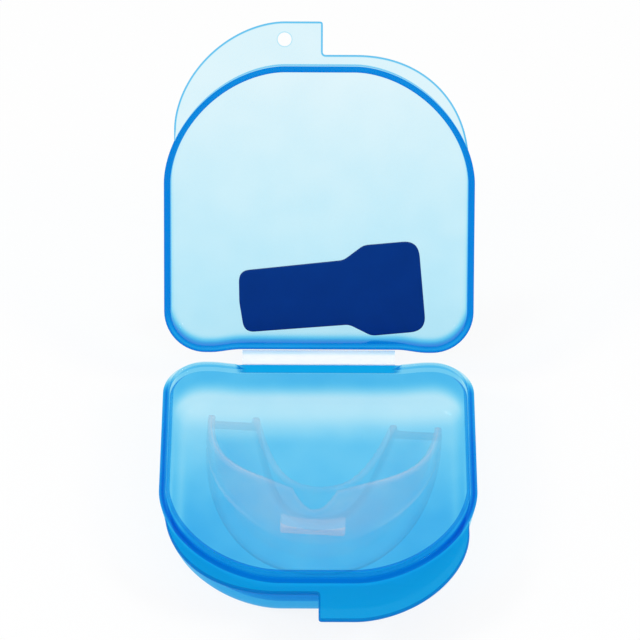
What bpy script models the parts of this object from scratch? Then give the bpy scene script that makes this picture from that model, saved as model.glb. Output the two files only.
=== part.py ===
"""Mouthguard in its hinged case, open: base tray, lid, film hinge, mouthguard and fitting handle."""
import math

import bmesh
import bpy
from mathutils import Vector

MM = 0.001

# Mouthguard: a U-shaped channel, open upward, on the floor of the base
GUARD_WIDTH = 61.3 * MM
GUARD_LENGTH = 48.6 * MM
GUARD_ARCH_POWER = 2.2
GUARD_INSIDE_WIDTH = 33.9 * MM
GUARD_INSIDE_POWER = 2.4
GUARD_FRONT_CHANNEL = 21.2 * MM
GUARD_FLOOR = 3.0 * MM
GUARD_WALL = 1.9 * MM
GUARD_FRONT_HEIGHT = 20.4 * MM
GUARD_TONGUE_HEIGHT = 11.0 * MM
GUARD_END_HEIGHT = 5.2 * MM
GUARD_FRONT_LEAN = 0.46
GUARD_END_LEAN = 0.05
GUARD_TONGUE_LEAN = 2.6 * MM
GUARD_CREASE = 0.46
GUARD_BULGE = 0.8 * MM
GUARD_NOTCH_WIDTH = 20.0 * MM
GUARD_NOTCH_DEPTH = 4.4 * MM
GUARD_TAB_WIDTH = 16.3 * MM
GUARD_TAB_THICKNESS = 2.4 * MM
GUARD_TAB_REACH = 3.2 * MM
GUARD_TAB_LOW = 12.3 * MM
GUARD_TURN = math.radians(-3.9)

# Room left round the mouthguard, from its edge to the outer face of the case
ROOM_SIDE = 9.68 * MM
ROOM_END = 13.2 * MM
ROOM_ABOVE = 3.0 * MM

# Case walls seen from above
CASE_WIDTH = GUARD_WIDTH + 2 * ROOM_SIDE
CASE_DEPTH = GUARD_LENGTH + 2 * ROOM_END
FRONT_FLAT = 18.3 * MM
FRONT_RISE = 30.6 * MM
FRONT_POWER = 1.83
HINGE_CORNER = 10.8 * MM
HINGE_RECESS = 0.8 * MM
HINGE_WIDTH = 40.6 * MM
RECESS_BLEND = 8.0 * MM
WALL = 1.5 * MM

# Base tray
BASE_HEIGHT = 15.0 * MM
BASE_FLOOR = 1.5 * MM
BASE_DRAFT = 2.4 * MM
BASE_OUTER_RADIUS = 7.5 * MM
BASE_INNER_RADIUS = 5.8 * MM
LIP_HEIGHT = 2.2 * MM
LIP_WALL = 1.0 * MM
LIP_EDGE = 0.2 * MM
LIP_ROOT = 1.6 * MM
LIP_CLEARANCE = 0.3 * MM

# Lid
LID_PANEL = 1.5 * MM
LID_DRAFT = 0.4 * MM
LID_OUTER_RADIUS = 3.6 * MM
LID_INNER_RADIUS = 2.2 * MM
RIM_GAP = 0.3 * MM
OPEN_ANGLE = math.radians(127.0)

# Flanges and thumb tabs along the front of both halves
FLANGE_THICKNESS = 1.2 * MM
FLANGE_REACH = 2.8 * MM
FLANGE_INSET = 1.6 * MM
FLANGE_POWER = 2.15
TAB_REACH = 11.4 * MM
BASE_TAB_INSET = 2.4 * MM
LID_TAB_INSET = 2.7 * MM
TAB_CORNER = 1.0 * MM
BASE_TAB_CUT = 0.2 * MM
LID_TAB_CUT = -0.75 * MM
HANG_HOLE = 3.6 * MM
HANG_HOLE_SIDE = 9.1 * MM
HANG_HOLE_REACH = 6.8 * MM

# Film hinge
HINGE_OFFSET = 1.4 * MM
FILM_THICKNESS = 0.4 * MM
FILM_DROP = 0.5 * MM
FILM_GAP = 0.3 * MM
FILM_SIDE_INSET = 0.4 * MM

# Fitting handle, flat in the lid with its lower edge on the rounding by the hinge
HANDLE_LENGTH = 48.2 * MM
HANDLE_WIDTH = 17.0 * MM
HANDLE_TAPER = 0.4 * MM
HANDLE_HEAD_WIDTH = 23.9 * MM
HANDLE_HEAD_LENGTH = 14.4 * MM
HANDLE_SHOULDER = 5.6 * MM
HANDLE_TIP = 0.6 * MM
HANDLE_CORNER = 4.2 * MM
HANDLE_END_CORNER = 3.0 * MM
HANDLE_THICKNESS = 2.4 * MM
HANDLE_EDGE = 0.5 * MM
HANDLE_TURN = math.radians(5.3)
HANDLE_SIDE_SHIFT = 3.1 * MM
HANDLE_WALL_GAP = 0.68 * MM

REST_GAP = 0.3 * MM

# Places worked out from the sizes above
HALF_WIDTH = CASE_WIDTH / 2
HALF_DEPTH = CASE_DEPTH / 2
HINGE_Y = HALF_DEPTH + HINGE_OFFSET
HINGE_Z = BASE_HEIGHT + RIM_GAP / 2
RIM_Z = BASE_HEIGHT + RIM_GAP
LID_HEIGHT = BASE_FLOOR + REST_GAP + GUARD_FRONT_HEIGHT + ROOM_ABOVE + LID_PANEL - RIM_Z

CURVE_STEPS = 14
CORNER_STEPS = 7
BACK_STEPS = 8
ROUND_STEPS = 5


def clear_scene():
    """Take every object and mesh out of the scene."""
    for obj in list(bpy.data.objects):
        bpy.data.objects.remove(obj, do_unlink=True)
    for mesh in list(bpy.data.meshes):
        bpy.data.meshes.remove(mesh)


def smooth(t):
    """Return a step from 0 to 1 with level ends for t from 0 to 1."""
    t = min(max(t, 0.0), 1.0)
    return t * t * (3 - 2 * t)


def front_line(x, inset):
    """Return the y of the front wall line at x, for the outline moved in by inset."""
    run = HALF_WIDTH - inset - FRONT_FLAT / 2
    u = min(max((abs(x) - FRONT_FLAT / 2) / run, 0.0), 1.0)
    rise = (FRONT_RISE - inset) * (1 - (1 - u ** FRONT_POWER) ** (1 / FRONT_POWER))
    return -HALF_DEPTH + inset + rise


def front_half(inset, steps=CURVE_STEPS, power=FRONT_POWER):
    """Return the front curve from the end of the flat to the straight side, for positive x."""
    run = HALF_WIDTH - inset - FRONT_FLAT / 2
    rise = FRONT_RISE - inset
    points = []
    for k in range(steps + 1):
        a = math.pi / 2 * k / steps
        x = FRONT_FLAT / 2 + run * math.sin(a) ** (2 / power)
        y = -HALF_DEPTH + inset + rise * (1 - math.cos(a) ** (2 / power))
        points.append((x, y))
    return points


def back_recess(x):
    """Return how far the back wall steps in at x for the film."""
    return HINGE_RECESS * (1 - smooth((abs(x) - HINGE_WIDTH / 2) / RECESS_BLEND))


def outline(inset):
    """Return the case outline seen from above, moved in by inset, anticlockwise from the front middle."""
    half = front_half(inset)
    radius = max(HINGE_CORNER - inset, 0.4 * MM)
    side, back = HALF_WIDTH - inset, HALF_DEPTH - inset
    for k in range(CORNER_STEPS + 1):
        a = math.pi / 2 * k / CORNER_STEPS
        half.append((side - radius + radius * math.cos(a), back - radius + radius * math.sin(a)))
    last = side - radius
    inner = min(HINGE_WIDTH / 2, last - 1.0 * MM)
    for k in range(1, BACK_STEPS + 1):
        half.append((last + (inner - last) * k / BACK_STEPS, back))
    half = [(x, y - (back_recess(x) if y > 0 else 0.0)) for x, y in half]
    return half + [(-x, y) for x, y in reversed(half)]


def mesh_object(name, bm):
    """Turn a bmesh into a named object with outward faces."""
    bmesh.ops.recalc_face_normals(bm, faces=bm.faces)
    mesh = bpy.data.meshes.new(name)
    bm.to_mesh(mesh)
    bm.free()
    obj = bpy.data.objects.new(name, mesh)
    bpy.context.scene.collection.objects.link(obj)
    return obj


def loft(name, rings):
    """Join rings of equal length into one closed body, capped at the first and last ring."""
    bm = bmesh.new()
    loops = [[bm.verts.new(p) for p in ring] for ring in rings]
    count = len(loops[0])
    for low, high in zip(loops, loops[1:]):
        for i in range(count):
            j = (i + 1) % count
            bm.faces.new((low[i], low[j], high[j], high[i]))
    bm.faces.new(loops[0])
    bm.faces.new(loops[-1])
    return mesh_object(name, bm)


def boolean(obj, cutter, operation):
    """Apply one exact Boolean of cutter to obj and take the cutter away."""
    cutter.hide_render = True
    cutter.display_type = "WIRE"
    mod = obj.modifiers.new("cut", "BOOLEAN")
    mod.operation = operation
    mod.solver = "EXACT"
    mod.object = cutter
    graph = bpy.context.evaluated_depsgraph_get()
    mesh = bpy.data.meshes.new_from_object(obj.evaluated_get(graph))
    obj.modifiers.remove(mod)
    obj.data = mesh
    bpy.data.objects.remove(cutter, do_unlink=True)


def box(name, low, high):
    """Return a plain box between two corners."""
    (x0, y0, z0), (x1, y1, z1) = low, high
    square = [(x0, y0), (x1, y0), (x1, y1), (x0, y1)]
    return loft(name, [[(x, y, z) for x, y in square] for z in (z0, z1)])


def fillet(corners):
    """Return a closed polygon with each (x, y, radius) corner rounded by an arc."""
    points = []
    count = len(corners)
    for i, (x, y, radius) in enumerate(corners):
        here = Vector((x, y))
        before = Vector(corners[i - 1][:2]) - here
        after = Vector(corners[(i + 1) % count][:2]) - here
        turn = before.angle(after)
        reach = radius / math.tan(turn / 2)
        limit = 0.48 * min(before.length, after.length)
        reach = min(reach, limit)
        radius = reach * math.tan(turn / 2)
        one, two = before.normalized(), after.normalized()
        centre = here + (one + two).normalized() * radius / math.sin(turn / 2)
        start, end = here + one * reach - centre, here + two * reach - centre
        sweep = start.angle_signed(end)
        for k in range(ROUND_STEPS + 1):
            a = -sweep * k / ROUND_STEPS
            c, s = math.cos(a), math.sin(a)
            points.append((centre.x + start.x * c - start.y * s, centre.y + start.x * s + start.y * c))
    return points


def plate_edge(inset, reach, start, power):
    """Return the free edge of a front plate from x = start round to the wall, for positive x."""
    shift = reach + inset
    curve = [(x, y - shift) for x, y in front_half(inset, 40, power)]
    curve.append((curve[-1][0], curve[-1][1] + shift))
    points = [(start, -HALF_DEPTH - reach)]
    for (x0, y0), (x1, y1) in zip(curve, curve[1:]):
        if y1 >= front_line(x1, WALL / 2):
            low, high = 0.0, 1.0
            for _ in range(30):
                mid = (low + high) / 2
                x, y = x0 + (x1 - x0) * mid, y0 + (y1 - y0) * mid
                low, high = (low, mid) if y >= front_line(x, WALL / 2) else (mid, high)
            points.append((x0 + (x1 - x0) * low, y0 + (y1 - y0) * low))
            return points[:1] + points[1:-1:2] + points[-1:]
        points.append((x0, y0))
    return points


def front_plate(name, cut, inset, z_low, z_high, side):
    """Return the flange and thumb tab of one half, the tab on the side given by side (+1 or -1)."""
    tab = plate_edge(inset, TAB_REACH, cut, FRONT_POWER)
    flange = plate_edge(FLANGE_INSET, FLANGE_REACH, -cut, FLANGE_POWER)
    ring = [(-x, y) for x, y in reversed(flange)]
    ring.append((cut + TAB_CORNER, -HALF_DEPTH - TAB_REACH))
    ring.insert(-1, (cut, -HALF_DEPTH - TAB_REACH + TAB_CORNER))
    ring += tab[1:]
    right, left = tab[-1][0], -flange[-1][0]
    steps = 2 * CURVE_STEPS
    for k in range(1, steps):
        x = right + (left - right) * k / steps
        ring.append((x, front_line(x, WALL / 2)))
    ring = [(side * x, y) for x, y in ring]
    return loft(name, [[(x, y, z) for x, y in ring] for z in (z_low, z_high)])


def arc(inset, z, radius, start, end):
    """Return profile points (inset, z) on a quarter round with its centre at (inset, z)."""
    points = []
    for k in range(ROUND_STEPS + 1):
        a = start + (end - start) * k / ROUND_STEPS
        points.append((inset + radius * math.cos(a), z + radius * math.sin(a)))
    return points


def build_base():
    """Return the base tray: floor, drafted wall, lip, flange and thumb tab."""
    def drafted(z):
        return BASE_DRAFT * (1 - z / BASE_HEIGHT)

    low = drafted(BASE_OUTER_RADIUS)
    profile = arc(low + BASE_OUTER_RADIUS, BASE_OUTER_RADIUS, BASE_OUTER_RADIUS, 1.5 * math.pi, math.pi)
    seat = WALL + LIP_CLEARANCE
    inner = seat + LIP_WALL
    top = BASE_HEIGHT + LIP_HEIGHT
    profile += [(0.0, BASE_HEIGHT), (seat, BASE_HEIGHT), (seat, top - LIP_EDGE), (seat + LIP_EDGE, top),
                (inner - LIP_EDGE, top), (inner, top - LIP_EDGE), (inner, BASE_HEIGHT - LIP_ROOT / 4)]
    root = BASE_HEIGHT - LIP_ROOT
    profile.append((WALL + drafted(root), root))
    bend = BASE_FLOOR + BASE_INNER_RADIUS
    centre = WALL + drafted(bend) + BASE_INNER_RADIUS
    profile += arc(centre, bend, BASE_INNER_RADIUS, math.pi, 1.5 * math.pi)
    base = loft("case_base", [[(x, y, z) for x, y in outline(i)] for i, z in profile])
    reach = HINGE_WIDTH / 2
    gap = box("lip_gap", (-reach, 0.0, BASE_HEIGHT + LIP_EDGE), (reach, CASE_DEPTH, top + LIP_HEIGHT))
    boolean(base, gap, "DIFFERENCE")
    plate = front_plate("base_plate", BASE_TAB_CUT, BASE_TAB_INSET, BASE_HEIGHT - FLANGE_THICKNESS,
                        BASE_HEIGHT, 1)
    boolean(base, plate, "UNION")
    return base


def build_lid(pivot):
    """Return the lid in its closed place, carried by the hinge pivot."""
    def drafted(z):
        return LID_DRAFT * (z - RIM_Z) / LID_HEIGHT

    top, under = RIM_Z + LID_HEIGHT, RIM_Z + LID_HEIGHT - LID_PANEL
    bend = top - LID_OUTER_RADIUS
    profile = arc(drafted(bend) + LID_OUTER_RADIUS, bend, LID_OUTER_RADIUS, 0.5 * math.pi, math.pi)
    profile += [(0.0, RIM_Z), (WALL, RIM_Z)]
    bend = under - LID_INNER_RADIUS
    profile += arc(WALL + drafted(bend) + LID_INNER_RADIUS, bend, LID_INNER_RADIUS, math.pi, 0.5 * math.pi)
    lid = loft("case_lid", [[(x, y, z) for x, y in outline(i)] for i, z in profile])
    plate = front_plate("lid_plate", LID_TAB_CUT, LID_TAB_INSET, RIM_Z, RIM_Z + FLANGE_THICKNESS, -1)
    boolean(lid, plate, "UNION")
    ring = []
    for k in range(24):
        a = math.tau * k / 24
        x, y = HANG_HOLE / 2 * math.cos(a), HANG_HOLE / 2 * math.sin(a)
        ring.append((x - HANG_HOLE_SIDE, y - HALF_DEPTH - HANG_HOLE_REACH))
    spread = (RIM_Z - FLANGE_THICKNESS, RIM_Z + 2 * FLANGE_THICKNESS)
    boolean(lid, loft("hole", [[(x, y, z) for x, y in ring] for z in spread]), "DIFFERENCE")
    for vert in lid.data.vertices:
        vert.co -= Vector((0.0, HINGE_Y, HINGE_Z))
    lid.parent = pivot
    return lid


def build_film():
    """Return the film: a thin strip bent round below the hinge line, from the base to the open lid."""
    bend = math.pi - OPEN_ANGLE
    half = bend / 2
    run = HINGE_OFFSET + HINGE_RECESS - FILM_GAP
    corner = Vector((HINGE_Y + FILM_DROP * math.tan(half), HINGE_Z - FILM_DROP))
    length = run + FILM_DROP * math.tan(half)
    radius = length / math.tan(half)
    centre = Vector((corner.x - length, corner.y + radius))
    steps = 10
    low, high = [], []
    for k in range(steps + 1):
        a = bend * k / steps
        out = Vector((math.sin(a), -math.cos(a)))
        low.append(centre + out * (radius + FILM_THICKNESS / 2))
        high.append(centre + out * (radius - FILM_THICKNESS / 2))
    ring = low + list(reversed(high))
    reach = HINGE_WIDTH / 2 - FILM_SIDE_INSET
    return loft("hinge_film", [[(x, p.x, p.y) for p in ring] for x in (-reach, reach)])


def guard_station(u):
    """Return outer foot, inner top edge, wall heights and rise at u, from -1 at one end to 1 at the other."""
    a = abs(u) * math.pi / 2
    side = -1 if u < 0 else 1
    power = 2 / GUARD_ARCH_POWER
    outer = Vector((side * GUARD_WIDTH / 2 * math.sin(a) ** power,
                    GUARD_LENGTH * (1 - math.cos(a) ** power)))
    s = abs(u) ** 1.5
    inner = Vector((side * GUARD_INSIDE_WIDTH / 2 * s,
                    GUARD_FRONT_CHANNEL + (GUARD_LENGTH - GUARD_FRONT_CHANNEL) * s ** GUARD_INSIDE_POWER))
    c = math.cos(a)
    rise = (smooth(c) + math.sin(math.pi / 2 * c)) / 2
    high = GUARD_END_HEIGHT + (GUARD_FRONT_HEIGHT - GUARD_END_HEIGHT) * rise
    notch = math.cos(math.pi / 2 * min(2 * abs(outer.x) / GUARD_NOTCH_WIDTH, 1.0))
    tongue = GUARD_END_HEIGHT + (GUARD_TONGUE_HEIGHT - GUARD_END_HEIGHT) * rise
    return outer, inner, high - GUARD_NOTCH_DEPTH * notch, tongue, rise


def guard_lean(rise):
    """Return how far the outer wall leans in for each unit of height."""
    return GUARD_END_LEAN + (GUARD_FRONT_LEAN - GUARD_END_LEAN) * rise


def guard_section(u):
    """Return the closed ring of points of the channel at u."""
    outer, inner, high, tongue, rise = guard_station(u)
    width = (inner - outer).length
    lean = guard_lean(rise)
    full = GUARD_END_HEIGHT + (GUARD_FRONT_HEIGHT - GUARD_END_HEIGHT) * rise
    fold = GUARD_CREASE * full
    bulge = lean * fold - GUARD_BULGE * rise
    edge = 0.25 * GUARD_WALL
    top = lean * high
    skin = GUARD_WALL
    foot = bulge * min(GUARD_FLOOR / fold, 1.0) + skin
    heel = width - skin - GUARD_TONGUE_LEAN * rise
    loop = [(edge, 0.0), (0.4 * lean * edge, edge), (bulge * 0.45, fold * 0.5), (bulge, fold),
            (top - lean * edge, high - edge), (top + edge, high), (top + skin - edge, high),
            (top + skin, high - edge), (bulge + skin, fold + edge), (foot + edge, GUARD_FLOOR + edge / 2),
            (foot + 3 * edge, GUARD_FLOOR), (heel - 3 * edge, GUARD_FLOOR),
            (heel - edge, GUARD_FLOOR + edge / 2),
            (width - skin, tongue - edge), (width - skin + edge, tongue), (width - edge, tongue),
            (width, tongue - edge), (heel + skin, edge), (heel + skin - edge, 0.0)]
    across = (inner - outer) / width
    ring = []
    for c, z in loop:
        p = outer + across * c
        ring.append((p.x, p.y, z))
    return ring


def guard_face(z):
    """Return how far the outer face has leaned in at height z in the middle of the front."""
    fold = GUARD_CREASE * GUARD_FRONT_HEIGHT
    low = GUARD_FRONT_LEAN * fold - GUARD_BULGE
    high = GUARD_FRONT_HEIGHT - GUARD_NOTCH_DEPTH
    return low + (GUARD_FRONT_LEAN * high - low) * (z - fold) / (high - fold)


def build_guard():
    """Return the mouthguard standing on the base floor."""
    steps = 72
    guard = loft("mouthguard", [guard_section(2 * k / steps - 1) for k in range(steps + 1)])
    low, high = GUARD_TAB_LOW, GUARD_TAB_LOW + GUARD_TAB_THICKNESS
    half, edge = GUARD_TAB_WIDTH / 2, 0.25 * GUARD_TAB_THICKNESS
    front = guard_face(high) - GUARD_TAB_REACH
    rings = []
    for inset, z in ((edge, low), (0.0, low + edge), (0.0, high - edge), (edge, high)):
        ring = [(inset - half, front + inset, z), (half - inset, front + inset, z)]
        for k in range(11):
            x = (half - inset) * (1 - k / 5)
            share = (2 * abs(x) / GUARD_WIDTH) ** GUARD_ARCH_POWER
            arch = GUARD_LENGTH * (1 - (1 - share) ** (1 / GUARD_ARCH_POWER))
            ring.append((x, arch + guard_face(z) + GUARD_WALL / 2, z))
        rings.append(ring)
    boolean(guard, loft("tab", rings), "UNION")
    for vert in guard.data.vertices:
        vert.co.y -= GUARD_LENGTH / 2
    guard.location = (0.0, 0.0, BASE_FLOOR + REST_GAP)
    guard.rotation_euler = (0.0, 0.0, GUARD_TURN)
    return guard


def build_handle(pivot):
    """Return the fitting handle lying in the lid, upper edge on the panel, lower edge on the rounding."""
    back, front = -HANDLE_LENGTH / 2, HANDLE_LENGTH / 2
    head = front - HANDLE_HEAD_LENGTH
    neck = head - HANDLE_SHOULDER
    wide, body = HANDLE_HEAD_WIDTH / 2, HANDLE_WIDTH / 2
    end = body - HANDLE_TAPER
    half = [(back + HANDLE_TIP, -end, HANDLE_END_CORNER), (neck, -body, HANDLE_CORNER),
            (head, -wide, HANDLE_CORNER), (front, -wide, HANDLE_CORNER)]
    corners = half + [(x, -y, r) for x, y, r in reversed(half)] + [(back, 0.0, 3 * HANDLE_CORNER)]
    plan = fillet(corners)
    rings = []
    count = len(plan)
    for inset, z in ((HANDLE_EDGE, -HANDLE_THICKNESS), (0.0, HANDLE_EDGE - HANDLE_THICKNESS),
                     (0.0, -HANDLE_EDGE), (HANDLE_EDGE, 0.0)):
        ring = []
        for i, (x, y) in enumerate(plan):
            run = Vector(plan[(i + 1) % count]) - Vector(plan[i - 1])
            side = Vector((-run.y, run.x)).normalized()
            ring.append((x + side.x * inset, y + side.y * inset, z))
        rings.append(ring)
    handle = loft("fitting_handle", rings)
    under = RIM_Z + LID_HEIGHT - LID_PANEL
    wall = HALF_DEPTH - HINGE_RECESS - WALL - LID_DRAFT
    drop = LID_INNER_RADIUS - HANDLE_WALL_GAP
    stand = LID_INNER_RADIUS - math.sqrt(LID_INNER_RADIUS ** 2 - drop ** 2)
    tall = wide * math.cos(HANDLE_TURN)
    lean = math.asin(stand / (2 * tall))
    reach = max(y * math.cos(HANDLE_TURN) - x * math.sin(HANDLE_TURN) for x, y in plan)
    middle = wall - HANDLE_WALL_GAP - reach
    handle.parent = pivot
    handle.location = (HANDLE_SIDE_SHIFT, middle - HINGE_Y, under - REST_GAP - stand / 2 - HINGE_Z)
    handle.rotation_euler = (-lean, 0.0, -HANDLE_TURN)
    return handle


def paint(obj, name, colour, roughness, alpha):
    """Give obj its own Principled material."""
    mat = bpy.data.materials.new(name)
    mat.use_nodes = True
    shader = mat.node_tree.nodes["Principled BSDF"]
    shader.inputs["Base Color"].default_value = (*colour, 1.0)
    shader.inputs["Roughness"].default_value = roughness
    shader.inputs["Metallic"].default_value = 0.0
    shader.inputs["Alpha"].default_value = alpha
    obj.data.materials.clear()
    obj.data.materials.append(mat)


def main():
    """Build every piece in the open position."""
    clear_scene()
    pivot = bpy.data.objects.new("lid_pivot", None)
    bpy.context.scene.collection.objects.link(pivot)
    pivot.location = (0.0, HINGE_Y, HINGE_Z)
    pivot.rotation_euler = (-OPEN_ANGLE, 0.0, 0.0)
    blue = (0.035, 0.36, 0.78)
    paint(build_base(), "base polypropylene", blue, 0.25, 0.6)
    paint(build_lid(pivot), "lid polypropylene", blue, 0.25, 0.5)
    paint(build_film(), "film polypropylene", (0.45, 0.75, 0.9), 0.3, 0.4)
    paint(build_guard(), "guard ethylene vinyl acetate", (0.72, 0.8, 0.9), 0.2, 0.4)
    paint(build_handle(pivot), "handle plastic", (0.003, 0.035, 0.22), 0.4, 1.0)


main()
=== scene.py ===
"""Looks of the mouthguard in its hinged case: translucent case, clear guard and navy handle."""

import logging
import math
from dataclasses import dataclass
from enum import Enum
from typing import NamedTuple

import bmesh
import bpy
from mathutils import Matrix, Vector


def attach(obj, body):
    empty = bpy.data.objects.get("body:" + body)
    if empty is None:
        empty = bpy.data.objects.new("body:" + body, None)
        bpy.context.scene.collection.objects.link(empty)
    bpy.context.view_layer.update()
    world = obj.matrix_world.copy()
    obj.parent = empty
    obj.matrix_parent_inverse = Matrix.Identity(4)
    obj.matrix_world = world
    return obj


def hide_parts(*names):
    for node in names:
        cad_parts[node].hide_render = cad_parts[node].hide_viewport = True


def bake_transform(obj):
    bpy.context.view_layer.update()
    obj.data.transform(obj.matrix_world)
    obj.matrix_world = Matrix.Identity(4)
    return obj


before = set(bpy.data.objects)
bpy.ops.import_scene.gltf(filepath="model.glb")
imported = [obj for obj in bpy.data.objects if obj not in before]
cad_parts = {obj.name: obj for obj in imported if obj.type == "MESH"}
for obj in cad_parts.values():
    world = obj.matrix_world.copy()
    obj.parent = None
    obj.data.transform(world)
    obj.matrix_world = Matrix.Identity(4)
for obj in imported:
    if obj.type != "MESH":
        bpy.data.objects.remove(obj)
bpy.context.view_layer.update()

LOG = logging.getLogger("mouthguard_case")
MM = 0.001
WHITE = (1.0, 1.0, 1.0, 1.0)
# Edges that turn by more than this many degrees stay hard
CRISP = 32.0
# Points closer than this, in metres, become one
WELD = 1e-6
# Least angle between the two sides of a corner, in radians, and the share of a side that its arc may take
LEAST_TURN = 0.02
ARC_SHARE = 0.48
# Values that most of a noise texture lies between
NOISE_SPAN = {"From Min": 0.3, "From Max": 0.7}

Point2 = tuple[float, float]
Point3 = tuple[float, float, float]
Corner = tuple[float, float, float]


class Spot(NamedTuple):
    """A point of a piece's skin and what light meets there.

    Attributes:
        x: place to the right, in metres.
        y: place towards the hinge, in metres.
        z: height, in metres.
        way: how far light has run inside the plastic where it leaves here, in millimetres; in places made
            longer or shorter to paint shade or light.
        frost: share of light that the skin scatters here.
    """

    x: float
    y: float
    z: float
    way: float = 0.0
    frost: float = 0.0


Ring = list[Spot]


class Body(Enum):
    """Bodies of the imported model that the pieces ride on."""

    BASE = "base"
    LID = "lid"
    GUARD = "guard"
    HANDLE = "handle"


class Side(Enum):
    """Half of the case front, seen from the front, that carries a thumb tab."""

    RIGHT = 1
    LEFT = -1


class Join(Enum):
    """Ways to combine two closed bodies."""

    UNION = "UNION"
    CUT = "DIFFERENCE"


def smooth_step(t: float) -> float:
    """Return a step from 0 to 1 with level ends as t goes from 0 to 1."""
    t = min(max(t, 0.0), 1.0)
    return t * t * (3 - 2 * t)


class Ramp(NamedTuple):
    """A smooth step from 0 at its start to 1 after its run, which is negative for a step the other way."""

    start: float
    run: float

    def at(self, value: float) -> float:
        """Return the height of the step at a value."""
        return smooth_step((value - self.start) / self.run)


def linear(colour: str) -> Point3:
    """Turn an sRGB hex colour into linear light.

    Args:
        colour: six hex digits after a hash sign.

    Returns:
        Red, green and blue from 0 to 1.
    """
    values = [int(colour[i:i + 2], 16) / 255 for i in (1, 3, 5)]
    return tuple(v / 12.92 if v <= 0.04045 else ((v + 0.055) / 1.055) ** 2.4 for v in values)


def round_corners(corners: list[Corner], closed: bool, steps: int) -> list[Point2]:
    """Round the corners of a polygon or an open line by arcs.

    Args:
        corners: x, y and radius of each corner.
        closed: True where the last corner joins the first.
        steps: segments in each arc.

    Returns:
        The points of the rounded line, steps + 1 for each rounded corner.
    """
    points: list[Point2] = []
    count = len(corners)
    for i, (x, y, radius) in enumerate(corners):
        if not closed and i in (0, count - 1):
            points.append((x, y))
            continue
        here = Vector((x, y))
        before = Vector(corners[i - 1][:2]) - here
        after = Vector(corners[(i + 1) % count][:2]) - here
        turn = max(before.angle(after), LEAST_TURN)
        reach = min(radius / math.tan(turn / 2), ARC_SHARE * before.length, ARC_SHARE * after.length)
        one, two = before.normalized() * reach, after.normalized() * reach
        for k in range(steps + 1):
            t = k / steps
            p = here + one * (1 - t) ** 2 + two * t ** 2
            points.append((p.x, p.y))
    return points


def dense(line: list[Point2], step: float) -> list[Point2]:
    """Add points to an open line, so that none lies farther than step from the next.

    Args:
        line: points of the line.
        step: the most that a point may lie from the next.

    Returns:
        The line's own points and those between them.
    """
    points = line[:1]
    for (x0, y0), (x1, y1) in zip(line, line[1:]):
        count = max(1, math.ceil(math.hypot(x1 - x0, y1 - y0) / step))
        points += [(x0 + (x1 - x0) * k / count, y0 + (y1 - y0) * k / count) for k in range(1, count + 1)]
    return points


def shrunk(line: list[Point2], inset: float) -> list[Point2]:
    """Move a closed line towards its inside.

    Args:
        line: points of the line, either way round.
        inset: how far each point moves.

    Returns:
        As many points.
    """
    count = len(line)
    area = sum(line[i - 1][0] * line[i][1] - line[i][0] * line[i - 1][1] for i in range(count))
    inset = math.copysign(inset, area)
    points = []
    for i, (x, y) in enumerate(line):
        run = Vector(line[(i + 1) % count]) - Vector(line[i - 1])
        inward = Vector((-run.y, run.x)).normalized() * inset
        points.append((x + inward.x, y + inward.y))
    return points


def add_object(name: str, data: bpy.types.ID) -> bpy.types.Object:
    """Link a new object to the scene, at the origin.

    Args:
        name: name of the object.
        data: its mesh, lamp or camera.

    Returns:
        The new object.
    """
    obj = bpy.data.objects.new(name, data)
    bpy.context.scene.collection.objects.link(obj)
    return obj


def object_from(name: str, bm: bmesh.types.BMesh) -> bpy.types.Object:
    """Turn a bmesh into a named object at the origin.

    Args:
        name: name of the object and its mesh.
        bm: the shape, which is freed here.

    Returns:
        The new object.
    """
    mesh = bpy.data.meshes.new(name)
    bm.to_mesh(mesh)
    bm.free()
    return add_object(name, mesh)


def loft(name: str, rings: list[Ring]) -> bpy.types.Object:
    """Join rings of equal length into one closed body with a cap at each end.

    Args:
        name: name of the object.
        rings: rings of spots, in order.

    Returns:
        The closed object, faces outwards, with the spots' way and frost as attributes of its face corners.
    """
    bm = bmesh.new()
    loops = [[bm.verts.new(spot[:3]) for spot in ring] for ring in rings]
    count = len(loops[0])
    for low, high in zip(loops, loops[1:]):
        for i in range(count):
            j = (i + 1) % count
            bm.faces.new((low[i], low[j], high[j], high[i]))
    bm.faces.new(loops[0])
    bm.faces.new(loops[-1])
    bmesh.ops.recalc_face_normals(bm, faces=bm.faces)
    way, frost = (bm.loops.layers.float.new(label) for label in ("way", "frost"))
    for verts, ring in zip(loops, rings):
        for vert, spot in zip(verts, ring):
            for corner in vert.link_loops:
                corner[way], corner[frost] = spot.way, spot.frost
    bmesh.ops.remove_doubles(bm, verts=bm.verts, dist=WELD)
    return object_from(name, bm)


def settle(obj: bpy.types.Object) -> None:
    """Replace an object's mesh by its evaluated one and drop its modifiers.

    Args:
        obj: the object that is changed.
    """
    graph = bpy.context.evaluated_depsgraph_get()
    mesh = bpy.data.meshes.new_from_object(obj.evaluated_get(graph))
    obj.modifiers.clear()
    old = obj.data
    obj.data = mesh
    bpy.data.meshes.remove(old)


def combine(obj: bpy.types.Object, other: bpy.types.Object, join: Join) -> None:
    """Join other to obj, or cut it out of obj, and take other away.

    Args:
        obj: the object that is changed.
        other: the closed object that is joined or cut out.
        join: which of the two is done.
    """
    mod = obj.modifiers.new("combine", "BOOLEAN")
    mod.operation = join.value
    mod.solver = "EXACT"
    mod.object = other
    settle(obj)
    bpy.data.objects.remove(other, do_unlink=True)


def coat(obj: bpy.types.Object, finish: bpy.types.Material, crisp: float = CRISP) -> None:
    """Shade an object smooth between its hard edges and give it one material all over.

    Args:
        obj: the object.
        finish: its material.
        crisp: edges that turn by more than this many degrees stay hard.
    """
    for face in obj.data.polygons:
        face.use_smooth = True
    obj.data.set_sharp_from_angle(angle=math.radians(crisp))
    obj.data.materials.clear()
    obj.data.materials.append(finish)


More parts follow.
